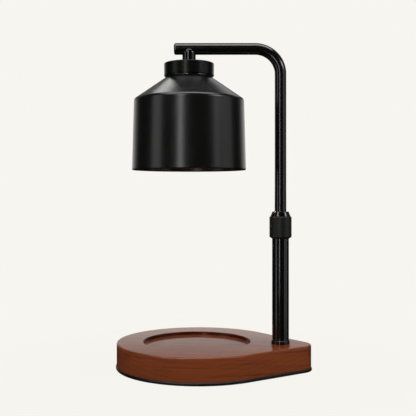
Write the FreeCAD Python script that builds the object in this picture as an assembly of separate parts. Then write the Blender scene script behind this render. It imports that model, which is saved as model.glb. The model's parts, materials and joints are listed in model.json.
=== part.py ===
import FreeCAD, Part
import math
import os

# Warming lamp: wooden base, telescoping pole with a twist-lock collar, bent arm and hanging shade.
# Millimetres. The origin is on the surface that the lamp stands on, under the centre of the
# base's round end. X points from there to the pole, and Z points up.

Vector = FreeCAD.Vector
UP = Vector(0, 0, 1)

# Fits
seat_gap = 0.05          # radial play of a piece pushed or screwed into its seat
running_gap = 0.08       # radial play of a bearing surface
free_gap = 0.3           # space between pieces that move past each other

# Base outline: a round end and a small tip joined by their common tangents
base_round_r = 85.7
base_tip_r = 17.7
base_tip_x = 99.15
wood_thickness = 23.4
wood_top_round = 1.4
pad_thickness = 3.4
pad_lip = 0.8
pad_edge_round = 1.2

# Seat recess in the top of the base
seat_x = -2.1
seat_r = 56.0
seat_depth = 3.5
seat_edge_round = 0.6

# Ballast plate in a pocket under the seat, with wood left between it and the wire pocket
pocket_wall = 5.3
ballast_thickness = 6.0
ballast_inset = 0.5
ballast_screw_count = 3
ballast_screw_inset = 14.0
ballast_screw_r = 2.0
ballast_screw_head_r = 3.8
ballast_screw_head_height = 2.2
ballast_screw_bite = 7.0

# Threaded fixings: the same hollow stud, nut and washer hold the pole and the shade
stud_r = 4.95
stud_bore_r = 3.2
stud_past_nut = 1.0
nut_across_flats = 17.0
nut_height = 5.0
washer_r = 11.5
washer_thickness = 1.5
spanner_room = 2.5

# Lead, and the crimped joints where the mains cord meets it
lead_r = 2.0
lead_above_pad = 0.5
lead_bend_r = 5.0
lead_run = 10.5          # from the pole's axis to the end of the lead's jacket
core_r = 0.9
core_bend_r = 1.6
core_run = 6.0           # bare stretch between jacket and joints
joint_r = 3.1
joint_length = 14.0
joint_spread = 7.0
joint_mouth_r = 2.1
joint_mouth_depth = 5.0
joint_end_gap = 1.5
joint_side_gap = 2.4
joint_headroom = 3.8
wire_pocket_round = 4.0

# Cord inlet: a rubber grommet in the rear flank, square to it
grommet_bore_r = 3.1
grommet_body_r = 5.0
grommet_body_length = 10.0
grommet_flange_r = 7.0
grommet_flange_thickness = 1.6
grommet_above_pad = 1.0

# Pole: upper tube, bent into the arm, and the lower tube that it slides in
pole_from_tip = 13.65
upper_tube_r = 6.0
upper_tube_wall = 1.0
tube_space = 1.4         # between the upper tube and the lower tube's bore
lower_tube_wall = 1.2
lower_tube_length = 117.0
upper_tube_insertion = 53.0
arm_above_lower_tube = 185.8
arm_bend_r = 26.0
arm_reach = 94.4
arm_past_hanger = 15.6
arm_turn = 9.0           # degrees about the pole, towards -Y, from the base's long axis
guide_bush_length = 12.0
coil_gap = 1.0

# Foot of the pole
foot_ring_lip = 0.95
foot_ring_height = 3.8
foot_ring_floor = 1.2
foot_ring_round = 0.8
tube_plug_length = 12.0

# Plug in the arm's free end
plug_head_length = 2.8
plug_spigot_length = 5.5
plug_edge_round = 2.0

# Twist-lock: threaded body in the lower tube, split collet, grip and nose
lock_spigot_length = 20.0
lock_flange_thickness = 1.5
lock_thread_length = 8.5
collet_seat_depth = 8.0
collet_wall = 0.85
collet_taper = 0.75
collet_slit = 1.2
grip_wall = 2.8
grip_lip = 0.35
grip_length = 22.7
grip_past_lock = 2.8
grip_chamfer_height = 1.7
grip_low_round = 0.6
grip_top_round = 0.9
nose_step = 0.8
nose_wall = 2.5
nose_height = 5.2
nose_edge_round = 0.3
nose_spigot_step = 0.6
nose_spigot_length = 2.0

# Hanger post under the arm, on the shade's axis
hanger_drop = 15.0       # from the arm's axis to the cap's top
post_cheek = 1.0         # how far the post stands out past the arm on each side
post_dome_below_arm = 4.6
post_stud_depth = 6.5
post_wire_bore_r = 3.6

# Shade cap
cap_r = 25.8
cap_height = 13.1
cap_wall = 1.6
cap_edge_round = 1.2
cap_lip_round = 0.4

# Shade shell: neck inside the cap, cone and slightly flared body with a hemmed rim
shell_wall = 1.0
shell_rim_r = 58.75
shell_flare = 1.95
shell_cone_below_cap_top = 16.0
shell_cone_height = 21.6
shell_body_height = 72.5
shell_shoulder_round = 4.0
shell_neck_round = 2.4
shell_hem_height = 5.0
shell_hem_thickness = 2.2
shell_hem_round = 1.0

# Lamp holder, its bracket and screws
bracket_thickness = 1.2
bracket_width = 14.0
bracket_foot_length = 7.5
bracket_screw_inset = 4.0
bracket_screw_r = 1.5
bracket_screw_head_r = 2.6
bracket_screw_head_height = 1.8
bracket_screw_bite = 6.5
bracket_screw_hole_rest = 0.5
wire_room = 5.7          # between the stud's end and the holder's top
holder_r = 14.2
holder_height = 21.0
holder_edge_round = 1.0
holder_face_thickness = 2.2
holder_cavity_height = 7.4
terminal_y = 6.0
terminal_r = 1.4
terminal_depth = 8.0
core_spread_drop = 5.0   # height in which the cores spread from the stud to the terminals
contact_thickness = 0.7
contact_half_width = 2.0
contact_overrun = 15.0   # degrees that a contact reaches past the pin at each end
contact_stem_r = 1.1

# Twist-and-lock reflector bulb
pin_spacing = 10.0
pin_r = 1.5
pin_head_r = 2.5
pin_length = 7.3
pin_head_height = 3.0
pin_root = 4.0
bulb_twist = 25.0        # degrees from locked to free
bulb_gap = 0.4
bulb_cap_r = 9.6
bulb_cap_flare_r = 12.5
bulb_cap_length = 16.0
bulb_cap_flare_length = 5.0
bulb_cap_neck_round = 2.0
bulb_cap_top_round = 1.0
bulb_front_r = 25.0
reflector_depth = 24.0
reflector_wall = 1.2
reflector_rim_height = 3.0
reflector_bulge = 2.2    # how far the bowl's wall bows out at its middle
lens_thickness = 2.2
lens_edge_round = 0.5
capsule_r = 4.6
capsule_length = 18.0

# Places in the base
pole_x = base_tip_x - pole_from_tip
shade_x = pole_x - arm_reach
base_top_z = pad_thickness + wood_thickness
seat_floor_z = base_top_z - seat_depth
lead_z = pad_thickness + lead_above_pad + lead_r
jacket_end_x = pole_x - lead_run
joint_z = pad_thickness + free_gap + joint_r
joint_high_x = jacket_end_x - core_run
joint_low_x = joint_high_x - joint_length
wire_pocket_low_x = joint_low_x - joint_end_gap
wire_pocket_half_width = joint_spread / 2 + joint_r + joint_side_gap
wire_pocket_high_z = pad_thickness + 2 * joint_r + joint_headroom
ballast_r = wire_pocket_low_x - pocket_wall - free_gap - seat_x
ballast_low_z = pad_thickness + ballast_inset
ballast_high_z = ballast_low_z + ballast_thickness
base_stud_low_z = lead_z + lead_bend_r
base_nut_low_z = base_stud_low_z + stud_past_nut
base_washer_low_z = base_nut_low_z + nut_height
nut_roof_z = base_washer_low_z + washer_thickness
nut_pocket_r = washer_r + spanner_room
grommet_z = pad_thickness + grommet_flange_r + grommet_above_pad

# Places on the pole
lower_tube_bore_r = upper_tube_r + tube_space
lower_tube_r = lower_tube_bore_r + lower_tube_wall
upper_tube_bore_r = upper_tube_r - upper_tube_wall
tube_low_z = base_top_z + foot_ring_floor
tube_high_z = tube_low_z + lower_tube_length
plug_high_z = tube_low_z + tube_plug_length
upper_tube_low_z = tube_high_z - upper_tube_insertion
mast_passage_r = upper_tube_r + free_gap
lock_high_z = tube_high_z + lock_flange_thickness + lock_thread_length
collet_seat_z = lock_high_z - collet_seat_depth
collet_low_r = upper_tube_r + collet_wall
collet_high_r = collet_low_r + collet_taper
grip_r = lower_tube_r + grip_wall
grip_high_z = lock_high_z + grip_past_lock
grip_low_z = grip_high_z - grip_length
nose_spigot_r = lower_tube_r - nose_spigot_step
arm_z = tube_high_z + arm_above_lower_tube
arm_end_x = shade_x - arm_past_hanger
arm_tube_end_x = arm_end_x + plug_head_length

# Places in the shade
post_r = upper_tube_r + post_cheek
dome_z = arm_z - post_dome_below_arm
cap_top_z = arm_z - hanger_drop
cap_bottom_z = cap_top_z - cap_height
shell_top_z = cap_top_z - cap_wall
shell_neck_r = cap_r - cap_wall - seat_gap
shell_cone_top_z = cap_top_z - shell_cone_below_cap_top
shell_shoulder_r = shell_rim_r - shell_flare
shell_shoulder_z = shell_cone_top_z - shell_cone_height
shell_rim_z = shell_shoulder_z - shell_body_height
cone_slope = shell_cone_height / (shell_shoulder_r - cap_r)
shell_neck_z = shell_cone_top_z + (cap_r - shell_neck_r) * cone_slope
bracket_top_z = shell_top_z - shell_wall
cap_washer_low_z = bracket_top_z - bracket_thickness - washer_thickness
cap_nut_low_z = cap_washer_low_z - nut_height
cap_stud_low_z = cap_nut_low_z - stud_past_nut
cap_stud_high_z = cap_top_z + post_stud_depth

# Places in the lamp holder and the bulb
holder_top_z = cap_stud_low_z - wire_room
holder_low_z = holder_top_z - holder_height
bracket_screw_x = holder_r - bracket_screw_inset
cavity_low_z = holder_low_z + holder_face_thickness
cavity_high_z = cavity_low_z + holder_cavity_height
terminal_low_z = holder_top_z - terminal_depth
bulb_top_z = holder_low_z - bulb_gap
pin_top_z = bulb_top_z + pin_length
flare_top_z = bulb_top_z - bulb_cap_length
reflector_top_z = flare_top_z - bulb_cap_flare_length
reflector_low_z = reflector_top_z - reflector_depth


def upright(x, y, low_z, high_z, radius):
    return Part.makeCylinder(radius, high_z - low_z, Vector(x, y, low_z))


def upright_ring(x, y, low_z, high_z, outer_r, inner_r):
    return upright(x, y, low_z, high_z, outer_r).cut(upright(x, y, low_z, high_z, inner_r))


def box(low, high):
    return Part.makeBox(high[0] - low[0], high[1] - low[1], high[2] - low[2], Vector(*low))


def round_corner(before, corner, after, radius):
    """Start, middle, end and centre of the arc that rounds a corner between two neighbours."""
    to_before = (before - corner).normalize()
    to_after = (after - corner).normalize()
    half = to_before.getAngle(to_after) / 2
    reach = radius / math.tan(half)
    inward = (to_before + to_after).normalize()
    centre = corner + inward * (radius / math.sin(half))
    middle = centre - inward * radius
    return corner + to_before * reach, middle, corner + to_after * reach, centre


def rounded_wire(corners):
    """Closed wire through corners of (point, round radius)."""
    edges = []
    arcs = []
    for i, (corner, radius) in enumerate(corners):
        before = corners[i - 1][0]
        after = corners[(i + 1) % len(corners)][0]
        if radius > 0:
            start, middle, end, _ = round_corner(before, corner, after, radius)
            arcs.append((start, end))
            edges.append(Part.Arc(start, middle, end).toShape())
        else:
            arcs.append((corner, corner))
    for i in range(len(corners)):
        line_start = arcs[i - 1][1]
        line_end = arcs[i][0]
        if line_start.distanceToPoint(line_end) > 1e-6:
            edges.append(Part.LineSegment(line_start, line_end).toShape())
    return Part.Wire(Part.__sortEdges__(edges))


def turned(outline, x=0.0, y=0.0):
    """Solid of revolution about the upright axis at x, y. The outline holds (radius, z, round)."""
    corners = []
    for radius, z, rounding in outline:
        corners.append((Vector(x + radius, y, z), rounding))
    return Part.Face(rounded_wire(corners)).revolve(Vector(x, y, 0), UP, 360)


def bent_rod(points, rod_r, bend_r):
    """Round rod along straight runs joined by arcs of one radius."""
    pieces = []
    run_start = points[0]
    for i in range(1, len(points) - 1):
        start, _, end, centre = round_corner(points[i - 1], points[i], points[i + 1], bend_r)
        into = start - run_start
        pieces.append(Part.makeCylinder(rod_r, into.Length, run_start, into))
        heading = (points[i] - points[i - 1]).normalize()
        leaving = (points[i + 1] - points[i]).normalize()
        section = Part.Face(Part.Wire(Part.Circle(start, heading, rod_r).toShape()))
        turn = math.degrees(heading.getAngle(leaving))
        pieces.append(section.revolve(centre, heading.cross(leaving), turn))
        run_start = end
    last = points[-1] - run_start
    pieces.append(Part.makeCylinder(rod_r, last.Length, run_start, last))
    return pieces[0].fuse(pieces[1:]).removeSplitter()


def ring_sector(x, low_z, high_z, inner_r, outer_r, from_deg, to_deg):
    """Part of a ring about the upright axis at x, between two angles from the Y axis."""
    sweep = to_deg - from_deg
    outer = Part.makeCylinder(outer_r, high_z - low_z, Vector(x, 0, low_z), UP, sweep)
    inner = Part.makeCylinder(inner_r, high_z - low_z, Vector(x, 0, low_z), UP, sweep)
    sector = outer.cut(inner)
    sector.rotate(Vector(x, 0, 0), UP, 90 + from_deg)
    return sector


def hex_nut(x, low_z):
    corner_r = nut_across_flats / math.sqrt(3)
    corners = []
    for i in range(7):
        angle = math.radians(60 * i)
        corners.append(Vector(x + corner_r * math.cos(angle), corner_r * math.sin(angle), low_z))
    prism = Part.Face(Part.makePolygon(corners)).extrude(Vector(0, 0, nut_height))
    return prism.cut(upright(x, 0, low_z, low_z + nut_height, stud_r + seat_gap))


def hollow_stud(x, low_z, high_z):
    return upright_ring(x, 0, low_z, high_z, stud_r, stud_bore_r)


def washer(x, low_z):
    return upright_ring(x, 0, low_z, low_z + washer_thickness, washer_r, stud_r + seat_gap)


def base_outline(low_z, high_z, grow):
    """Teardrop prism of the base, grown or shrunk all round."""
    round_r = base_round_r + grow
    tip_r = base_tip_r + grow
    across = flank_normal()
    mirrored = Vector(across.x, -across.y, 0)
    level = Vector(0, 0, low_z)
    tip_centre = Vector(base_tip_x, 0, low_z)
    tip_rear = tip_centre + across * tip_r
    tip_front = tip_centre + mirrored * tip_r
    round_rear = level + across * round_r
    round_front = level + mirrored * round_r
    edges = [Part.Arc(round_rear, Vector(-round_r, 0, low_z), round_front).toShape(),
             Part.LineSegment(round_front, tip_front).toShape(),
             Part.Arc(tip_front, Vector(base_tip_x + tip_r, 0, low_z), tip_rear).toShape(),
             Part.LineSegment(tip_rear, round_rear).toShape()]
    return Part.Face(Part.Wire(edges)).extrude(Vector(0, 0, high_z - low_z))


def flank_normal():
    """Outward direction of the base's rear flank, the straight side between round end and tip."""
    cosine = (base_round_r - base_tip_r) / base_tip_x
    return Vector(cosine, math.sqrt(1 - cosine * cosine), 0)


def grommet_seat():
    """Point on the rear flank where the grommet's axis comes out."""
    normal = flank_normal()
    pole = Vector(pole_x, 0, grommet_z)
    return pole + normal * (base_round_r - normal.x * pole_x)


def along_grommet(radius, from_out, to_out):
    """Cylinder on the grommet's axis, between two distances outward from the flank."""
    normal = flank_normal()
    return Part.makeCylinder(radius, to_out - from_out, grommet_seat() + normal * from_out, normal)


def edges_at(shape, z):
    found = []
    for edge in shape.Edges:
        limits = edge.BoundBox
        if abs(limits.ZMin - z) < 1e-4 and abs(limits.ZMax - z) < 1e-4:
            found.append(edge)
    return found


def screw(x, y, head_z, down, head_r, head_height, shank_r, shank_length):
    """Screw with its head's outer face at head_z; down is 1 when it points down, -1 when up."""
    shank_end = head_z - down * (head_height + shank_length)
    head_end = head_z - down * head_height
    head = upright(x, y, min(head_z, head_end), max(head_z, head_end), head_r)
    shank = upright(x, y, min(head_end, shank_end), max(head_end, shank_end), shank_r)
    return head.fuse(shank).removeSplitter()


def ballast_screw_places():
    places = []
    for i in range(ballast_screw_count):
        angle = math.radians(60 + 360 / ballast_screw_count * i)
        circle_r = ballast_r - ballast_screw_inset
        places.append((seat_x + circle_r * math.cos(angle), circle_r * math.sin(angle)))
    return places


# Base

def make_wood_base():
    wood = base_outline(pad_thickness, base_top_z, 0)
    wood = wood.makeFillet(wood_top_round, edges_at(wood, base_top_z))
    beyond = seat_r + seat_edge_round + 1
    recess = turned([(0, seat_floor_z, 0), (seat_r, seat_floor_z, 0), (seat_r, base_top_z, seat_edge_round),
                     (beyond, base_top_z, 0), (beyond, base_top_z + 1, 0), (0, base_top_z + 1, 0)], seat_x)
    wood = wood.cut(recess)
    wood = wood.cut(upright(seat_x, 0, pad_thickness, ballast_high_z, ballast_r + free_gap))
    for x, y in ballast_screw_places():
        wood = wood.cut(upright(x, y, ballast_high_z, ballast_high_z + ballast_screw_bite + free_gap,
                                ballast_screw_r + seat_gap))
    wood = wood.cut(upright(pole_x, 0, pad_thickness, nut_roof_z, nut_pocket_r))
    wood = wood.cut(upright(pole_x, 0, nut_roof_z, base_top_z, stud_r + free_gap))
    pocket = box((wire_pocket_low_x, -wire_pocket_half_width, pad_thickness),
                 (pole_x, wire_pocket_half_width, wire_pocket_high_z))
    corners = [edge for edge in pocket.Edges
               if edge.BoundBox.ZLength > 1 and edge.BoundBox.XMax < pole_x - 1]
    pocket = pocket.makeFillet(wire_pocket_round, corners)
    wood = wood.cut(pocket)
    to_pole = base_round_r - flank_normal().x * pole_x
    return wood.cut(along_grommet(grommet_body_r + seat_gap, -to_pole, 1))


def make_base_pad():
    pad = base_outline(0, pad_thickness, pad_lip)
    return pad.makeFillet(pad_edge_round, edges_at(pad, 0) + edges_at(pad, pad_thickness))


def make_ballast_plate():
    plate = upright(seat_x, 0, ballast_low_z, ballast_high_z, ballast_r)
    for x, y in ballast_screw_places():
        plate = plate.cut(upright(x, y, ballast_low_z, ballast_high_z, ballast_screw_r + seat_gap))
        plate = plate.cut(upright(x, y, ballast_low_z, ballast_low_z + ballast_screw_head_height,
                                  ballast_screw_head_r + seat_gap))
    return plate


def make_ballast_screws():
    shank = ballast_thickness - ballast_screw_head_height + ballast_screw_bite
    screws = []
    for x, y in ballast_screw_places():
        screws.append(screw(x, y, ballast_low_z, -1, ballast_screw_head_r, ballast_screw_head_height,
                            ballast_screw_r, shank))
    return Part.makeCompound(screws)


def make_cord_grommet():
    body = along_grommet(grommet_body_r, -grommet_body_length, 0)
    flange = along_grommet(grommet_flange_r, 0, grommet_flange_thickness)
    bore = along_grommet(grommet_bore_r, -grommet_body_length, grommet_flange_thickness)
    return body.fuse(flange).cut(bore).removeSplitter()


# Pole foot

def make_foot_ring():
    inner = lower_tube_r + seat_gap
    outer = lower_tube_r + foot_ring_lip
    top = base_top_z + foot_ring_height
    hole = stud_r + free_gap
    return turned([(hole, base_top_z, 0), (outer, base_top_z, 0), (outer, top, foot_ring_round),
                   (inner, top, 0), (inner, tube_low_z, 0), (hole, tube_low_z, 0)], pole_x)


def make_lower_tube():
    return upright_ring(pole_x, 0, tube_low_z, tube_high_z, lower_tube_r, lower_tube_bore_r)


def make_tube_plug():
    return upright_ring(pole_x, 0, tube_low_z, plug_high_z, lower_tube_bore_r - seat_gap,
                        stud_r + seat_gap)


def make_base_nipple():
    return hollow_stud(pole_x, base_stud_low_z, plug_high_z)


def make_base_washer():
    return washer(pole_x, base_washer_low_z)


def make_base_nut():
    return hex_nut(pole_x, base_nut_low_z)


# Lead in the base and in the lower tube

def make_wire_joints():
    joints = []
    for side in (-1, 1):
        y = side * joint_spread / 2
        closed_end = Vector(joint_low_x + joint_r, y, joint_z)
        barrel = Part.makeCylinder(joint_r, joint_length - joint_r, closed_end, Vector(1, 0, 0))
        dome = Part.makeSphere(joint_r, closed_end)
        mouth = Part.makeCylinder(joint_mouth_r, joint_mouth_depth, Vector(joint_high_x, y, joint_z),
                                  Vector(-1, 0, 0))
        joints.append(barrel.fuse(dome).cut(mouth).removeSplitter())
    return Part.makeCompound(joints)


def make_base_lead():
    lead = bent_rod([Vector(jacket_end_x, 0, lead_z), Vector(pole_x, 0, lead_z),
                     Vector(pole_x, 0, plug_high_z)], lead_r, lead_bend_r)
    for side in (-1, 1):
        y = side * joint_spread / 2
        core = bent_rod([Vector(jacket_end_x + core_r, side * core_r, lead_z),
                         Vector(joint_high_x + core_bend_r, y, joint_z),
                         Vector(joint_high_x - joint_mouth_depth, y, joint_z)], core_r, core_bend_r)
        lead = lead.fuse(core)
    return lead.removeSplitter()


def make_slack_lead():
    return upright(pole_x, 0, plug_high_z, upper_tube_low_z, lower_tube_bore_r - coil_gap)


# Twist-lock

def make_lock_body():
    spigot_r = lower_tube_bore_r - seat_gap
    spigot_low_z = tube_high_z - lock_spigot_length
    seat_low_r = collet_low_r + running_gap
    seat_high_r = collet_high_r + running_gap
    return turned([(mast_passage_r, spigot_low_z, 0), (spigot_r, spigot_low_z, 0), (spigot_r, tube_high_z, 0),
                   (lower_tube_r, tube_high_z, 0), (lower_tube_r, lock_high_z, 0),
                   (seat_high_r, lock_high_z, 0), (seat_low_r, collet_seat_z, 0),
                   (mast_passage_r, collet_seat_z, 0)], pole_x)


def make_split_collet():
    low_z = collet_seat_z + free_gap
    bore = upper_tube_r + running_gap
    ring = turned([(bore, low_z, 0), (collet_low_r, low_z, 0), (collet_high_r, lock_high_z, 0),
                   (bore, lock_high_z, 0)], pole_x)
    slit = box((pole_x + bore - 1, -collet_slit / 2, low_z - 1),
               (pole_x + collet_high_r + 1, collet_slit / 2, lock_high_z + 1))
    return ring.cut(slit)


def make_grip_collar():
    bore = lower_tube_r + running_gap
    chamfer_z = grip_low_z + grip_chamfer_height
    return turned([(bore, grip_low_z, 0), (lower_tube_r + grip_lip, grip_low_z, 0),
                   (grip_r, chamfer_z, grip_low_round),
                   (grip_r, grip_high_z, grip_top_round), (nose_spigot_r + seat_gap, grip_high_z, 0),
                   (nose_spigot_r + seat_gap, lock_high_z + free_gap, 0),
                   (bore, lock_high_z + free_gap, 0)], pole_x)


def make_nose_ring():
    top = grip_high_z + nose_height
    spigot_low_z = grip_high_z - nose_spigot_length
    return turned([(mast_passage_r, spigot_low_z, 0), (nose_spigot_r, spigot_low_z, 0),
                   (nose_spigot_r, grip_high_z, 0), (grip_r - nose_step, grip_high_z, nose_edge_round),
                   (upper_tube_r + nose_wall, top, nose_edge_round),
                   (mast_passage_r, top, nose_edge_round)], pole_x)


# Mast

def mast_path(low_z, end_x):
    return [Vector(pole_x, 0, low_z), Vector(pole_x, 0, arm_z), Vector(end_x, 0, arm_z)]


def make_mast_tube():
    outer = bent_rod(mast_path(upper_tube_low_z, arm_tube_end_x), upper_tube_r, arm_bend_r)
    inner = bent_rod(mast_path(upper_tube_low_z - 1, arm_tube_end_x - 1), upper_tube_bore_r, arm_bend_r)
    wire_hole = upright(shade_x, 0, arm_z - upper_tube_r - 1, arm_z, post_wire_bore_r)
    return outer.cut(inner).cut(wire_hole)


def make_guide_bush():
    return upright_ring(pole_x, 0, upper_tube_low_z, upper_tube_low_z + guide_bush_length,
                        lower_tube_bore_r - running_gap, upper_tube_r + seat_gap)


def make_arm_end_plug():
    head = Part.makeCylinder(upper_tube_r, plug_head_length, Vector(arm_end_x, 0, arm_z), Vector(1, 0, 0))
    outer_rim = [edge for edge in head.Edges if edge.BoundBox.XMax < arm_end_x + 0.01]
    head = head.makeFillet(plug_edge_round, outer_rim)
    spigot = Part.makeCylinder(upper_tube_bore_r - seat_gap, plug_spigot_length,
                               Vector(arm_tube_end_x, 0, arm_z), Vector(1, 0, 0))
    return head.fuse(spigot).removeSplitter()


def make_hanger_post():
    post = upright(shade_x, 0, cap_top_z, dome_z, post_r)
    post = post.fuse(Part.makeSphere(post_r, Vector(shade_x, 0, dome_z))).removeSplitter()
    saddle = Part.makeCylinder(upper_tube_r + seat_gap, 4 * post_r, Vector(shade_x - 2 * post_r, 0, arm_z),
                               Vector(1, 0, 0))
    over_arm = box((shade_x - 2 * post_r, -post_r, arm_z + upper_tube_r / 2),
                   (shade_x + 2 * post_r, post_r, arm_z + 2 * post_r))
    post = post.cut(saddle).cut(over_arm)
    post = post.cut(upright(shade_x, 0, cap_top_z, cap_stud_high_z, stud_r + seat_gap))
    return post.cut(upright(shade_x, 0, cap_stud_high_z, arm_z, post_wire_bore_r))


def make_hanger_nipple():
    return hollow_stud(shade_x, cap_stud_low_z, cap_stud_high_z)


def make_cap_washer():
    return washer(shade_x, cap_washer_low_z)


def make_cap_nut():
    return hex_nut(shade_x, cap_nut_low_z)


def make_mast_lead():
    turn_r = upper_tube_r
    trunk = mast_path(upper_tube_low_z, shade_x)
    along = bent_rod([trunk[0], trunk[1], Vector(shade_x + 2 * turn_r, 0, arm_z)], lead_r, arm_bend_r)
    drop = bent_rod([Vector(shade_x + 2 * turn_r, 0, arm_z), Vector(shade_x, 0, arm_z),
                     Vector(shade_x, 0, cap_stud_low_z)], lead_r, turn_r)
    return along.fuse(drop).removeSplitter()


# Shade

def make_shade_cap():
    hole = stud_r + free_gap
    inner_r = cap_r - cap_wall
    return turned([(hole, shell_top_z, 0), (inner_r, shell_top_z, cap_lip_round), (inner_r, cap_bottom_z, 0),
                   (cap_r, cap_bottom_z, cap_lip_round), (cap_r, cap_top_z, cap_edge_round),
                   (hole, cap_top_z, 0)], shade_x)


def inside_corner(before, corner, after, wall):
    """The corner of a sheet's inner side, one wall in from the outer side's corner."""
    def inward(start, end):
        along_r = end[0] - start[0]
        along_z = end[1] - start[1]
        length = math.hypot(along_r, along_z)
        return along_z / length, -along_r / length

    first = inward(before, corner)
    second = inward(corner, after)
    spread = 1 + first[0] * second[0] + first[1] * second[1]
    return (corner[0] - wall * (first[0] + second[0]) / spread,
            corner[1] - wall * (first[1] + second[1]) / spread)


def make_shade_shell():
    hole = stud_r + free_gap
    rim = (shell_rim_r, shell_rim_z)
    shoulder = (shell_shoulder_r, shell_shoulder_z)
    neck = (shell_neck_r, shell_neck_z)
    brow = (shell_neck_r, shell_top_z)
    centre = (hole, shell_top_z)
    in_shoulder = inside_corner(rim, shoulder, neck, shell_wall)
    in_neck = inside_corner(shoulder, neck, brow, shell_wall)
    in_brow = inside_corner(neck, brow, centre, shell_wall)
    flare = (shell_shoulder_r - shell_rim_r) / (shell_shoulder_z - shell_rim_z)
    hem_top_z = shell_rim_z + shell_hem_height
    hem_top_r = shell_rim_r + flare * shell_hem_height
    edge_round = min(shell_hem_round, shell_hem_thickness * 0.45)
    return turned([rim + (edge_round,), shoulder + (shell_shoulder_round,), neck + (shell_neck_round,),
                   brow + (shell_wall,), centre + (0,), (hole, shell_top_z - shell_wall, 0),
                   in_brow + (0,), in_neck + (shell_neck_round + shell_wall,),
                   in_shoulder + (shell_shoulder_round - shell_wall,),
                   (hem_top_r - shell_wall, hem_top_z, 0), (hem_top_r - shell_hem_thickness, hem_top_z, 0),
                   (shell_rim_r - shell_hem_thickness, shell_rim_z, edge_round)], shade_x)


# Lamp holder

def make_holder_bracket():
    half_width = bracket_width / 2
    web_low_z = bracket_top_z - bracket_thickness
    foot_high_z = holder_top_z + bracket_thickness
    web = box((shade_x - holder_r, -half_width, web_low_z), (shade_x + holder_r, half_width, bracket_top_z))
    leg = box((shade_x + holder_r - bracket_thickness, -half_width, holder_top_z),
              (shade_x + holder_r, half_width, bracket_top_z))
    foot = box((shade_x + holder_r - bracket_foot_length, -half_width, holder_top_z),
               (shade_x + holder_r, half_width, foot_high_z))
    pole_half = leg.fuse(foot)
    bracket = web.fuse([pole_half, pole_half.mirror(Vector(shade_x, 0, 0), Vector(1, 0, 0))]).removeSplitter()
    bracket = bracket.cut(upright(shade_x, 0, web_low_z, bracket_top_z, stud_r + free_gap))
    for side in (-1, 1):
        bracket = bracket.cut(upright(shade_x + side * bracket_screw_x, 0, holder_top_z, foot_high_z,
                                      bracket_screw_r + seat_gap))
    return bracket


def make_bracket_screws():
    head_z = holder_top_z + bracket_thickness + bracket_screw_head_height
    screws = []
    for side in (-1, 1):
        screws.append(screw(shade_x + side * bracket_screw_x, 0, head_z, 1, bracket_screw_head_r,
                            bracket_screw_head_height, bracket_screw_r,
                            bracket_thickness + bracket_screw_bite))
    return Part.makeCompound(screws)


def pin_sweep(radius, low_z, high_z, grow):
    """Room swept by both pins, or by their heads, as the bulb turns from rest to free."""
    middle_r = pin_spacing / 2
    reach = radius + grow
    pieces = []
    for turn in (0, 180):
        pieces.append(ring_sector(shade_x, low_z, high_z, middle_r - reach, middle_r + reach,
                                  turn, turn + bulb_twist))
        for angle in (0, bulb_twist):
            spin = math.radians(90 + turn + angle)
            pieces.append(upright(shade_x + middle_r * math.cos(spin), middle_r * math.sin(spin),
                                  low_z, high_z, reach))
    return pieces


def make_lamp_holder():
    holder = turned([(0, holder_low_z, 0), (holder_r, holder_low_z, holder_edge_round),
                     (holder_r, holder_top_z, holder_edge_round), (0, holder_top_z, 0)], shade_x)
    room = pin_sweep(pin_r, holder_low_z, cavity_low_z, free_gap)
    room += pin_sweep(pin_head_r, cavity_low_z, cavity_high_z, 2 * free_gap)
    for turn in (0, 180):
        spin = math.radians(90 + turn + bulb_twist)
        room.append(upright(shade_x + pin_spacing / 2 * math.cos(spin), pin_spacing / 2 * math.sin(spin),
                            holder_low_z, cavity_low_z, pin_head_r + free_gap))
    screw_hole_low_z = holder_top_z - bracket_screw_bite - bracket_screw_hole_rest
    for side in (-1, 1):
        room.append(upright(shade_x, side * terminal_y, terminal_low_z, holder_top_z, terminal_r))
        room.append(upright(shade_x, side * terminal_y, cavity_high_z, terminal_low_z,
                            contact_stem_r + seat_gap))
        room.append(upright(shade_x + side * bracket_screw_x, 0, screw_hole_low_z, holder_top_z,
                            bracket_screw_r + seat_gap))
    return holder.cut(room)


def make_holder_contacts():
    low_z = pin_top_z + free_gap
    high_z = low_z + contact_thickness
    contacts = []
    for turn, side in ((0, 1), (180, -1)):
        blade = ring_sector(shade_x, low_z, high_z, pin_spacing / 2 - contact_half_width,
                            pin_spacing / 2 + contact_half_width, turn - contact_overrun,
                            turn + bulb_twist + contact_overrun)
        stem = upright(shade_x, side * terminal_y, low_z, terminal_low_z, contact_stem_r)
        contacts.append(blade.fuse(stem).removeSplitter())
    return Part.makeCompound(contacts)


def make_holder_wires():
    wires = []
    for side in (-1, 1):
        near = side * (core_r + seat_gap)
        far = side * terminal_y
        wires.append(bent_rod([Vector(shade_x, near, cap_stud_low_z),
                               Vector(shade_x, near, cap_stud_low_z - core_spread_drop / 2),
                               Vector(shade_x, far, cap_stud_low_z - core_spread_drop),
                               Vector(shade_x, far, terminal_low_z)], core_r, core_bend_r))
    return Part.makeCompound(wires)


# Bulb

def make_bulb_cap():
    cap = turned([(0, reflector_top_z, 0), (bulb_cap_flare_r, reflector_top_z, 0),
                  (bulb_cap_r, flare_top_z, bulb_cap_neck_round),
                  (bulb_cap_r, bulb_top_z, bulb_cap_top_round), (0, bulb_top_z, 0)], shade_x)
    for side in (-1, 1):
        cap = cap.cut(upright(shade_x, side * pin_spacing / 2, bulb_top_z - pin_root, bulb_top_z,
                              pin_r + seat_gap))
    return cap


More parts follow.
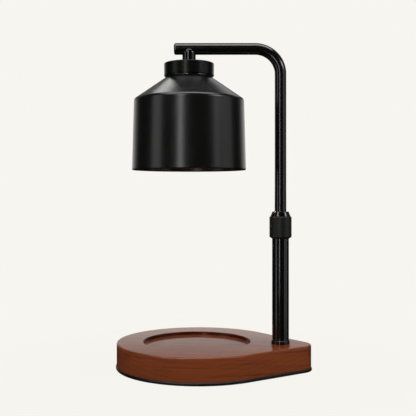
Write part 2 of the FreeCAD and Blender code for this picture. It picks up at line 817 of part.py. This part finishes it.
def make_bulb_pins():
    pins = []
    for side in (-1, 1):
        y = side * pin_spacing / 2
        shank = upright(shade_x, y, bulb_top_z - pin_root, pin_top_z - pin_head_height, pin_r)
        head = upright(shade_x, y, pin_top_z - pin_head_height, pin_top_z, pin_head_r)
        pins.append(shank.fuse(head).removeSplitter())
    return Part.makeCompound(pins)


def make_bulb_reflector():
    """Bowl with a bowed wall, from the cap's flare down to an upright front rim."""
    wall = reflector_wall
    rim_z = reflector_low_z + reflector_rim_height
    hole_r = capsule_r + running_gap

    def place(radius, z):
        return Vector(shade_x + radius, 0, z)

    def bowed(top, bottom):
        run = bottom - top
        out = Vector(-run.z, 0, run.x).normalize()
        middle = (top + bottom) * 0.5 + out * reflector_bulge
        return Part.Arc(top, middle, bottom).toShape()

    def straight(start, end):
        return Part.LineSegment(start, end).toShape()

    outer_top = place(bulb_cap_flare_r, reflector_top_z)
    outer_rim = place(bulb_front_r, rim_z)
    inner_top = place(bulb_cap_flare_r - wall, reflector_top_z - wall)
    inner_rim = place(bulb_front_r - wall, rim_z)
    front = place(bulb_front_r, reflector_low_z)
    inner_front = place(bulb_front_r - wall, reflector_low_z)
    hole_low = place(hole_r, reflector_top_z - wall)
    hole_high = place(hole_r, reflector_top_z)
    outline = [bowed(outer_top, outer_rim), straight(outer_rim, front), straight(front, inner_front),
               straight(inner_front, inner_rim), bowed(inner_top, inner_rim), straight(inner_top, hole_low),
               straight(hole_low, hole_high), straight(hole_high, outer_top)]
    bowl = Part.Face(Part.Wire(Part.__sortEdges__(outline)))
    return bowl.revolve(Vector(shade_x, 0, 0), UP, 360)


def make_bulb_lens():
    edge_r = bulb_front_r - reflector_wall - seat_gap
    top_z = reflector_low_z + lens_thickness
    return turned([(0, reflector_low_z, 0), (edge_r, reflector_low_z, lens_edge_round), (edge_r, top_z, 0),
                   (0, top_z, 0)], shade_x)


def make_bulb_capsule():
    low_z = reflector_top_z - capsule_length
    return turned([(0, low_z, 0), (capsule_r, low_z, capsule_r * 0.8), (capsule_r, reflector_top_z, 0),
                   (0, reflector_top_z, 0)], shade_x)


PIECES = {
    "wood_base": make_wood_base,
    "base_pad": make_base_pad,
    "ballast_plate": make_ballast_plate,
    "ballast_screws": make_ballast_screws,
    "cord_grommet": make_cord_grommet,
    "foot_ring": make_foot_ring,
    "lower_tube": make_lower_tube,
    "tube_plug": make_tube_plug,
    "base_nipple": make_base_nipple,
    "base_washer": make_base_washer,
    "base_nut": make_base_nut,
    "wire_joints": make_wire_joints,
    "base_lead": make_base_lead,
    "slack_lead": make_slack_lead,
    "lock_body": make_lock_body,
    "split_collet": make_split_collet,
    "grip_collar": make_grip_collar,
    "nose_ring": make_nose_ring,
    "mast_tube": make_mast_tube,
    "guide_bush": make_guide_bush,
    "arm_end_plug": make_arm_end_plug,
    "hanger_post": make_hanger_post,
    "hanger_nipple": make_hanger_nipple,
    "cap_washer": make_cap_washer,
    "cap_nut": make_cap_nut,
    "mast_lead": make_mast_lead,
    "shade_cap": make_shade_cap,
    "shade_shell": make_shade_shell,
    "holder_bracket": make_holder_bracket,
    "bracket_screws": make_bracket_screws,
    "lamp_holder": make_lamp_holder,
    "holder_contacts": make_holder_contacts,
    "holder_wires": make_holder_wires,
    "bulb_cap": make_bulb_cap,
    "bulb_pins": make_bulb_pins,
    "bulb_reflector": make_bulb_reflector,
    "bulb_lens": make_bulb_lens,
    "bulb_capsule": make_bulb_capsule,
}


# Pieces that turn about the pole with the arm. They are made in line with the base.
ARM_PIECES = list(PIECES)[list(PIECES).index("mast_tube"):] + ["split_collet"]


def turned_with_arm(shape):
    about_pole = FreeCAD.Placement(Vector(), FreeCAD.Rotation(UP, arm_turn), Vector(pole_x, 0, 0))
    return shape.transformed(about_pole.toMatrix(), True)


def main():
    os.makedirs("parts", exist_ok=True)
    for name, make in PIECES.items():
        shape = make()
        if name in ARM_PIECES:
            shape = turned_with_arm(shape)
        limits = shape.BoundBox
        print(f"{name}: {len(shape.Solids)} solids, valid {shape.isValid()}, volume {shape.Volume:.0f}, "
              f"z {limits.ZMin:.1f} to {limits.ZMax:.1f}")
        shape.exportStep(f"parts/{name}.step")


main()
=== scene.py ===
import json
import math

import bpy
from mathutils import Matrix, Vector


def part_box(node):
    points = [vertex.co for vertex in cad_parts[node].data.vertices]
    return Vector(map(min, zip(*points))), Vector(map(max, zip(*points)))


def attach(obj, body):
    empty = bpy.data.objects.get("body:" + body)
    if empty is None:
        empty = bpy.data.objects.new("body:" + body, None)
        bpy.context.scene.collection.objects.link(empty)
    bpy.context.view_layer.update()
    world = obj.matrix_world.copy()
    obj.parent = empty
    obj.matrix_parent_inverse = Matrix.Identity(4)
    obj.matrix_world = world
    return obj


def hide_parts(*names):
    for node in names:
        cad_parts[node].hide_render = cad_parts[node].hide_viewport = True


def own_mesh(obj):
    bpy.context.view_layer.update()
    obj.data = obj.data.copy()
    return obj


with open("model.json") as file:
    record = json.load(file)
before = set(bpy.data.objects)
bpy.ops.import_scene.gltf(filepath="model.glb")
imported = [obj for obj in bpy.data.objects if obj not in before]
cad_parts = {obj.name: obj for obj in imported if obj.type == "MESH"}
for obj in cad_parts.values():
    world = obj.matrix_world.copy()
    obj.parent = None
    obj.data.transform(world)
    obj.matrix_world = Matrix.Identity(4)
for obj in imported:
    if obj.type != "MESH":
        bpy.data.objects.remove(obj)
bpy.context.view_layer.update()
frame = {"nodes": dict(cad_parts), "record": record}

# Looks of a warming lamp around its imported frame. Metres, Z up, the pole on +X, the front towards -Y.

nodes = frame["nodes"]


def box_middle(node):
    low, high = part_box(node)
    return (low + high) / 2


# Places read from the frame
pole = box_middle("lower_tube")
shade = box_middle("shade_cap")
seat_x = frame["record"]["mounts"][1]["pos_m"][0]


class Signal:
    """Output of a shader node. Arithmetic on it adds Math nodes."""

    def __init__(self, finish, socket):
        self.finish = finish
        self.socket = socket

    def maths(self, operation, *values):
        return self.finish.node("ShaderNodeMath", {"operation": operation}, dict(enumerate(values)))

    def __add__(self, other):
        return self.maths("ADD", self, other)

    def __radd__(self, other):
        return self.maths("ADD", other, self)

    def __sub__(self, other):
        return self.maths("SUBTRACT", self, other)

    def __rsub__(self, other):
        return self.maths("SUBTRACT", other, self)

    def __mul__(self, other):
        return self.maths("MULTIPLY", self, other)

    def __rmul__(self, other):
        return self.maths("MULTIPLY", other, self)

    def __truediv__(self, other):
        return self.maths("DIVIDE", self, other)

    def __pow__(self, other):
        return self.maths("POWER", self, other)

    def size(self):
        return self.maths("ABSOLUTE", self)

    def fraction(self):
        return self.maths("FRACT", self)

    def step(self, start, end):
        """0 up to start, 1 from end, and smooth between them."""
        return self.finish.node("ShaderNodeMapRange", {"interpolation_type": "SMOOTHSTEP"},
                                {"Value": self, "From Min": start, "From Max": end})


class Finish:
    """Material whose nodes are added one by one."""

    def __init__(self, name):
        self.material = bpy.data.materials.new(name)
        self.material.use_nodes = True
        self.tree = self.material.node_tree
        self.tree.nodes.clear()
        self.place = self.node("ShaderNodeTexCoord", output="Object")

    def node(self, kind, settings=None, inputs=None, output=0):
        made = self.tree.nodes.new(kind)
        for name, value in (settings or {}).items():
            setattr(made, name, value)
        for name, value in (inputs or {}).items():
            socket = made.inputs[name]
            if isinstance(value, Signal):
                self.tree.links.new(value.socket, socket)
            elif socket.type == "RGBA":
                socket.default_value = (*value, 1)
            else:
                socket.default_value = value
        return None if output is None else Signal(self, made.outputs[output])

    def stretched(self, vector, shares):
        """Place for a texture that is finer along the axes with a larger share."""
        return self.node("ShaderNodeVectorMath", {"operation": "MULTIPLY"}, {0: vector, 1: shares})

    def axes(self, vector):
        split = self.node("ShaderNodeSeparateXYZ", inputs={0: vector})
        return [Signal(self, socket) for socket in split.socket.node.outputs]

    def noise(self, vector, scale, detail=2.0, roughness=0.5):
        return self.node("ShaderNodeTexNoise", inputs={"Vector": vector, "Scale": scale, "Detail": detail,
                                                       "Roughness": roughness})

    def blend(self, first, second, share):
        return self.node("ShaderNodeMix", {"data_type": "RGBA"}, {0: share, 6: first, 7: second}, 2)

    def darken(self, colour, share):
        """Colour times a grey that varies over the surface."""
        grey = self.node("ShaderNodeCombineXYZ", inputs={0: share, 1: share, 2: share})
        return self.node("ShaderNodeMix", {"data_type": "RGBA", "blend_type": "MULTIPLY"},
                         {0: 1.0, 6: colour, 7: grey}, 2)

    def bump(self, height, depth):
        return self.node("ShaderNodeBump", inputs={"Height": height, "Distance": depth, "Strength": 1.0})

    def surface(self, colour, roughness, bump=None, **constants):
        """Principled surface. Constants are named as its sockets, with _ for a space."""
        inputs = {"Base Color": colour, "Roughness": roughness}
        if bump is not None:
            inputs["Normal"] = bump
        for name, value in constants.items():
            inputs[name.replace("_", " ")] = value
        self.show(self.node("ShaderNodeBsdfPrincipled", inputs=inputs))
        return self.material

    def show(self, shader, target="ShaderNodeOutputMaterial"):
        self.node(target, inputs={"Surface": shader}, output=None)


def clothe(material, *names):
    """Gives each of the named nodes one material."""
    for name in names:
        mesh = nodes[name].data
        mesh.materials.clear()
        mesh.materials.append(material)


# Wood

pith_y = 0.24               # middle of the tree, behind the base and far below it
pith_z = -1.05
ring_step = 0.0047
layer_tilt = 0.10           # rise of the wood's layers towards the back
early_wood_colour = (0.272, 0.062, 0.0165)
late_wood_colour = (0.070, 0.0125, 0.0024)
recess_wall_r = 0.0560
# painted shade: how much darker the recess wall is drawn
wall_shade_strength = 0.72


def walnut():
    """Stained board under a clear lacquer, its layers nearly flat and its fibres along X, with painted shade
    darkening the recess wall.
    """
    wood = Finish("walnut")
    across_x, across_y, across_z = wood.axes(wood.place)
    wander = wood.noise(wood.stretched(wood.place, (2.2, 7, 7)), 1.0, 2)
    drift = wood.noise(wood.stretched(wood.place, (7, 40, 90)), 1.0, 3)
    from_pith_y = across_y - pith_y
    from_pith_z = across_z - pith_z
    pith_distance = (from_pith_y * from_pith_y + from_pith_z * from_pith_z) ** 0.5
    rings = (pith_distance / ring_step + wander * 1.5 + drift * 0.8).fraction()
    late_wood = rings.step(0.20, 0.92) * (1 - rings.step(0.92, 1.0))
    layer = across_z + across_y * layer_tilt
    layers = wood.node("ShaderNodeCombineXYZ", inputs={0: across_x, 1: across_y, 2: layer})
    fibre = wood.noise(wood.stretched(layers, (9, 40, 1000)), 1.0, 4, 0.62)
    streaks = wood.noise(wood.stretched(layers, (4, 12, 420)), 1.0, 3, 0.55).step(0.50, 0.72)
    pores = wood.noise(wood.stretched(wood.place, (80, 1300, 2500)), 1.0, 2, 0.4).step(0.60, 0.72)
    patches = wood.noise(wood.stretched(wood.place, (8, 18, 18)), 1.0, 2)
    share = late_wood * 0.16 + (fibre - 0.5) * 1.3 + streaks * 0.45
    grain = wood.blend(early_wood_colour, late_wood_colour, share)
    tone = 0.80 + patches * 0.45 - pores * 0.30
    # grain and random tone, with painted shade darkening the recess wall
    stained_and_wall_shaded = wood.darken(grain, tone * (1 - painted_shade_on_wall(wood) * wall_shade_strength))
    bump = wood.bump(fibre * 0.35 - pores * 0.9, 0.00003)
    return wood.surface(stained_and_wall_shaded, 0.42 + pores * 0.2, bump, Specular_IOR_Level=0.10, Coat_Weight=0.70,
                        Coat_Roughness=0.08, Coat_IOR=1.5)


def painted_shade_on_wall(wood):
    """Mask of the recess wall, where the wood is darkened as painted shade."""
    across_x, across_y, across_z = wood.axes(wood.place)
    normal = wood.axes(wood.node("ShaderNodeNewGeometry", output="Normal"))
    from_seat = across_x - seat_x
    seat_distance = (from_seat * from_seat + across_y * across_y) ** 0.5
    near_wall = 1 - (seat_distance - recess_wall_r).size().step(0.0004, 0.0011)
    upright = 1 - normal[2].size().step(0.25, 0.8)
    return near_wall * upright


# Paints, metals, plastics and glass

def paint(name, colour, roughness, peel_depth, peel_per_metre=900, speckle=0.0, **constants):
    """Sprayed coat: a faint orange peel, a little uneven gloss and dust in it."""
    coat = Finish(name)
    peel = coat.noise(coat.place, peel_per_metre, 2, 0.45)
    cloud = coat.noise(coat.place, 34, 3)
    dust = coat.noise(coat.place, 5200, 1)
    tint = coat.darken(colour, 0.82 + cloud * 0.36 + (dust - 0.5) * speckle)
    gloss = roughness + (cloud - 0.5) * 0.10 + (dust - 0.5) * speckle * 0.2
    return coat.surface(tint, gloss, coat.bump(peel, peel_depth), **constants)


def metal(name, colour, roughness, scratch_share=(1, 1, 30)):
    """Bare or plated metal with fine tool lines."""
    plate = Finish(name)
    lines = plate.noise(plate.stretched(plate.place, scratch_share), 260, 3, 0.6)
    cloud = plate.noise(plate.place, 60, 2)
    tint = plate.darken(colour, 0.8 + cloud * 0.3 + lines * 0.1)
    return plate.surface(tint, roughness + (lines - 0.5) * 0.2, plate.bump(lines, 0.00001), Metallic=1.0)


def moulded(name, colour, roughness, grain_depth, grain_per_metre=2600, **constants):
    """Moulded plastic, rubber or fired clay: fine grain over a cloudy tone."""
    body = Finish(name)
    grain = body.noise(body.place, grain_per_metre, 3)
    cloud = body.noise(body.place, 70, 2)
    tint = body.darken(colour, 0.84 + cloud * 0.32)
    return body.surface(tint, roughness + (grain - 0.5) * 0.15, body.bump(grain, grain_depth), **constants)


def mirror_bowl():
    """Pressed glass with a mirror coat, dimpled in rows."""
    bowl = Finish("mirror_bowl")
    dimples = bowl.node("ShaderNodeTexVoronoi", {"feature": "F1"},
                        {"Vector": bowl.place, "Scale": 330.0, "Randomness": 0.35})
    cloud = bowl.noise(bowl.place, 80, 2)
    tint = bowl.darken((0.80, 0.78, 0.72), 0.85 + cloud * 0.3)
    return bowl.surface(tint, 0.16 + cloud * 0.1, bowl.bump(dimples, 0.0006), Metallic=0.92)


glass_tint = (0.95, 0.93, 0.88)


def bulb_lens():
    """Pebbled front glass, glowing most at its middle."""
    lens = Finish("bulb_lens")
    across_x, across_y, _ = lens.axes(lens.place)
    off_x = across_x - shade.x
    off_y = across_y - shade.y
    from_axis = (off_x * off_x + off_y * off_y) ** 0.5
    pebbles = lens.node("ShaderNodeTexVoronoi", {"feature": "SMOOTH_F1"},
                        {"Vector": lens.place, "Scale": 420.0})
    glow = (1 - from_axis.step(0.003, 0.0235)) * 0.8 + 0.2 - pebbles * 0.15
    warm = lens.blend((0.30, 0.12, 0.03), (1.0, 0.72, 0.40), glow)
    return lens.surface(glass_tint, 0.12, lens.bump(pebbles, 0.0008), Transmission_Weight=0.7, IOR=1.5,
                        Emission_Color=warm, Emission_Strength=5.0)


def clear_capsule():
    """Inner lamp of the bulb, glowing all over."""
    capsule = Finish("clear_capsule")
    cloud = capsule.noise(capsule.place, 240, 2)
    warm = capsule.blend((1.0, 0.55, 0.22), (1.0, 0.80, 0.52), cloud)
    return capsule.surface(glass_tint, 0.08 + cloud * 0.05, Transmission_Weight=0.6, IOR=1.46,
                           Emission_Color=warm, Emission_Strength=8.0)


satin_black = (0.0052, 0.0050, 0.0048)
tube_black = (0.0035, 0.0034, 0.0033)
gloss_black = (0.0030, 0.0029, 0.0028)
grip_black = (0.0070, 0.0068, 0.0066)

# Name, colour, roughness, depth and count of the grain, and what else the surface needs
shade_paint = paint("shade_paint", satin_black, 0.25, 0.000030, 1100, 0.30, Specular_IOR_Level=0.8)
cap_paint = paint("cap_paint", satin_black, 0.25, 0.000020, 1100, 0.30, Specular_IOR_Level=0.30)
tube_paint = paint("tube_paint", tube_black, 0.17, 0.000003, 400, 0.05, Specular_IOR_Level=0.9)
gloss_paint = paint("gloss_paint", gloss_black, 0.10, 0.000008, 700, 0.05, Specular_IOR_Level=0.9)
grip_coat = moulded("grip_coat", grip_black, 0.45, 0.000040, 3200, Specular_IOR_Level=0.6)
pad_rubber = moulded("pad_rubber", (0.0050, 0.0049, 0.0048), 0.40, 0.000050, 2200)
grommet_rubber = moulded("grommet_rubber", (0.014, 0.0135, 0.013), 0.55, 0.000040)
lead_jacket = moulded("lead_jacket", (0.020, 0.0195, 0.019), 0.42, 0.000020)
nylon = moulded("nylon", (0.70, 0.68, 0.62), 0.42, 0.000020)
crimp_plastic = moulded("crimp_plastic", (0.62, 0.60, 0.54), 0.35, 0.000020)
white_ceramic = moulded("white_ceramic", (0.74, 0.71, 0.65), 0.62, 0.000060, 1500)
ballast_steel = metal("ballast_steel", (0.30, 0.30, 0.31), 0.48, (1, 1, 1))
plated_steel = metal("plated_steel", (0.62, 0.61, 0.59), 0.28)
brass = metal("brass", (0.72, 0.53, 0.24), 0.30)

clothe(walnut(), "wood_base")
clothe(pad_rubber, "base_pad")
clothe(grommet_rubber, "cord_grommet")
clothe(shade_paint, "shade_shell")
clothe(cap_paint, "shade_cap")
clothe(tube_paint, "mast_tube", "arm_end_plug", "lower_tube")
clothe(gloss_paint, "hanger_post", "foot_ring", "nose_ring")
clothe(grip_coat, "grip_collar")
clothe(ballast_steel, "ballast_plate")
clothe(plated_steel, "ballast_screws", "tube_plug", "base_nipple", "base_washer", "base_nut", "lock_body",
       "hanger_nipple", "cap_washer", "cap_nut", "holder_bracket", "bracket_screws", "bulb_pins")
clothe(nylon, "split_collet", "guide_bush")
clothe(crimp_plastic, "wire_joints")
clothe(lead_jacket, "base_lead", "mast_lead", "holder_wires", "slack_lead")
clothe(white_ceramic, "lamp_holder", "bulb_cap")
clothe(brass, "holder_contacts")
clothe(mirror_bowl(), "bulb_reflector")
clothe(bulb_lens(), "bulb_lens")
clothe(clear_capsule(), "bulb_capsule")


# Slack lead: a coil in the lower tube, which on the lamp shortens as the upper tube comes down; here it is
# drawn at one length

lead_r = 0.0020
coil_turns = 6
steps_per_turn = 28
points_around = 12


def coil_points(low, high):
    """Rings of points along the coil, from its foot to its top."""
    coil_r = (high.x - low.x) / 2 - lead_r
    steps = coil_turns * steps_per_turn
    rise = high.z - low.z - 2 * lead_r
    rise_per_radian = rise / (2 * math.pi * coil_turns)
    points = []
    for i in range(steps + 1):
        angle = 2 * math.pi * i / steps_per_turn
        outward = Vector((math.cos(angle), math.sin(angle), 0))
        forward = Vector((-math.sin(angle) * coil_r, math.cos(angle) * coil_r, rise_per_radian)).normalized()
        upward = forward.cross(outward)
        middle = Vector((pole.x, 0, low.z + lead_r + rise * i / steps)) + outward * coil_r
        for j in range(points_around):
            turn = 2 * math.pi * j / points_around
            points.append(tuple(middle + (outward * math.cos(turn) + upward * math.sin(turn)) * lead_r))
    return points


def coil_faces():
    last_ring = coil_turns * steps_per_turn * points_around
    faces = [list(range(points_around))[::-1], [last_ring + j for j in range(points_around)]]
    for ring in range(0, last_ring, points_around):
        for j in range(points_around):
            k = (j + 1) % points_around
            faces.append([ring + j, ring + k, ring + points_around + k, ring + points_around + j])
    return faces


def coiled_lead():
    low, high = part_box("slack_lead")
    mesh = bpy.data.meshes.new("coiled_lead")
    mesh.from_pydata(coil_points(low, high), [], coil_faces())
    mesh.polygons.foreach_set("use_smooth", [True] * len(mesh.polygons))
    mesh.materials.append(lead_jacket)
    coil = bpy.data.objects.new("coiled_lead", mesh)
    bpy.context.scene.collection.objects.link(coil)
    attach(coil, "base")
    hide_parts("slack_lead")
    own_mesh(coil)


coiled_lead()


# Stage: a pale table and pale surroundings

backdrop = (0.930, 0.913, 0.871)
table_colour = (0.72, 0.70, 0.66)
table_reach = 6.0
flat_share_near = 0.97      # of the backdrop's plain tone in the table beside the base
shadow_fade = (0.12, 0.30)  # distances between which the shadow on the table fades out


def make_floor():
    """Table seen from above in the backdrop's tone, with the lamp's shadow near the base."""
    corners = [(-1, -1), (1, -1), (1, 1), (-1, 1)]
    mesh = bpy.data.meshes.new("floor")
    mesh.from_pydata([(x * table_reach, y * table_reach, 0) for x, y in corners], [], [(0, 1, 2, 3)])
    floor = bpy.data.objects.new("floor", mesh)
    bpy.context.scene.collection.objects.link(floor)
    cloth = Finish("floor")
    across_x, across_y, _ = cloth.axes(cloth.place)
    distance = (across_x * across_x + across_y * across_y) ** 0.5
    flat_share = flat_share_near + distance.step(*shadow_fade) * (1 - flat_share_near)
    seen = cloth.node("ShaderNodeLightPath", output="Is Camera Ray")
    matte = cloth.node("ShaderNodeBsdfDiffuse", inputs={"Color": table_colour})
    clear = cloth.node("ShaderNodeBsdfTransparent")
    glossy = cloth.node("ShaderNodeLightPath", output="Is Glossy Ray")
    other = cloth.node("ShaderNodeMixShader", inputs={0: glossy, 1: matte, 2: clear})
    flat = cloth.node("ShaderNodeEmission", inputs={"Color": backdrop, "Strength": 1.0})
    above = cloth.node("ShaderNodeMixShader", inputs={0: seen * flat_share, 1: other, 2: flat})
    from_below = cloth.node("ShaderNodeNewGeometry", output="Backfacing")
    cloth.show(cloth.node("ShaderNodeMixShader", inputs={0: from_below, 1: above, 2: clear}))
    mesh.materials.append(cloth.material)


make_floor()


class Surroundings(Finish):
    """World background, built with the same nodes."""

    def __init__(self, name):
        self.world = bpy.data.worlds.new(name)
        self.world.use_nodes = True
        self.tree = self.world.node_tree
        self.tree.nodes.clear()
        self.place = self.node("ShaderNodeTexCoord", output="Generated")


dark_room = (0.010, 0.010, 0.010)
lit_backdrop = (1.0, 0.98, 0.94)
backdrop_turn = 0.16        # towards the photograph's side


def make_world():
    """Dark room with a lit backdrop behind the lamp, brightest low down."""
    air = Surroundings("studio")
    toward_pole, toward_back, upward = air.axes(air.place)
    straight_back = toward_back - toward_pole * backdrop_turn
    low_band = straight_back.step(0.55, 0.97) * (0.10 + 0.85 * (1 - upward.step(0.165, 0.215)))
    high_band = straight_back.step(0.25, 0.60) * upward.step(0.20, 0.34) * (1 - upward.step(0.70, 0.92))
    above_ground = upward.step(-0.02, 0.02)
    glow = air.blend(dark_room, lit_backdrop, (low_band + high_band * 0.12) * above_ground)
    room = air.node("ShaderNodeBackground", inputs={"Color": glow, "Strength": 1.0})
    plain = air.node("ShaderNodeBackground", inputs={"Color": backdrop, "Strength": 1.0})
    seen = air.node("ShaderNodeLightPath", output="Is Camera Ray")
    air.show(air.node("ShaderNodeMixShader", inputs={0: seen, 1: room, 2: plain}), "ShaderNodeOutputWorld")
    bpy.context.scene.world = air.world


make_world()


# Camera: level, a little right of the middle of the base, turned to the photograph's side

camera_turn = math.radians(9.19)
camera_distance = 0.8106
camera_aside = 0.0041
camera_height = 0.1792
camera_back = Vector((math.sin(camera_turn), -math.cos(camera_turn), 0))
camera_right = Vector((math.cos(camera_turn), math.sin(camera_turn), 0))
lens = bpy.data.cameras.new("camera")
lens.sensor_width = 36
lens.lens = 66.8
lens.shift_x = 0.0127
lens.shift_y = -0.0294
lens.clip_start = 0.01
camera = bpy.data.objects.new("camera", lens)
camera.location = camera_back * camera_distance + camera_right * camera_aside + Vector((0, 0, camera_height))
camera.rotation_euler = (math.pi / 2, 0, camera_turn)
bpy.context.scene.collection.objects.link(camera)
bpy.context.scene.camera = camera


# Soft panels around the lamp, each aimed at the middle of it

aim = Vector((0.02, 0, 0.19))

# Name, angle from the camera's side to the right, angle up, distance, width, height, brightness
panels = [
    ("left_panel", -66, 6, 1.3, 0.46, 1.1, 0.72),
    ("right_panel", 56, 6, 1.3, 0.28, 1.1, 0.62),
    ("right_wide_panel", 80, 6, 1.3, 0.70, 1.1, 0.38),
    ("front_left_panel", -17, 9, 1.5, 0.20, 1.05, 3.2),
    ("brow_left_panel", -17, 32, 1.5, 0.24, 0.26, 9.0),
    ("brow_right_panel", 62, 28, 1.4, 0.50, 0.26, 5.0),
    ("upper_left_panel", -42, 42, 1.4, 0.4, 0.4, 2.5),
    ("rim_panel", -158, 50, 1.4, 0.22, 0.34, 3.8),
    ("back_panel", 150, 36, 1.6, 1.0, 0.5, 0.55),
    ("overhead_panel", 0, 82, 1.3, 1.6, 0.8, 3.0),
]


def hang_panel(name, side_deg, up_deg, distance, width, height, brightness):
    side = camera_turn + math.radians(side_deg)
    up = math.radians(up_deg)
    direction = Vector((math.sin(side) * math.cos(up), -math.cos(side) * math.cos(up), math.sin(up)))
    lamp = bpy.data.lights.new(name, "AREA")
    lamp.shape = "RECTANGLE"
    lamp.size = width
    lamp.size_y = height
    lamp.energy = brightness * width * height * math.pi
    holder = bpy.data.objects.new(name, lamp)
    holder.location = aim + direction * distance
    holder.rotation_euler = direction.to_track_quat("Z", "Y").to_euler()
    holder.visible_camera = False
    bpy.context.scene.collection.objects.link(holder)


for row in panels:
    hang_panel(*row)

bpy.context.scene.view_settings.view_transform = "Standard"
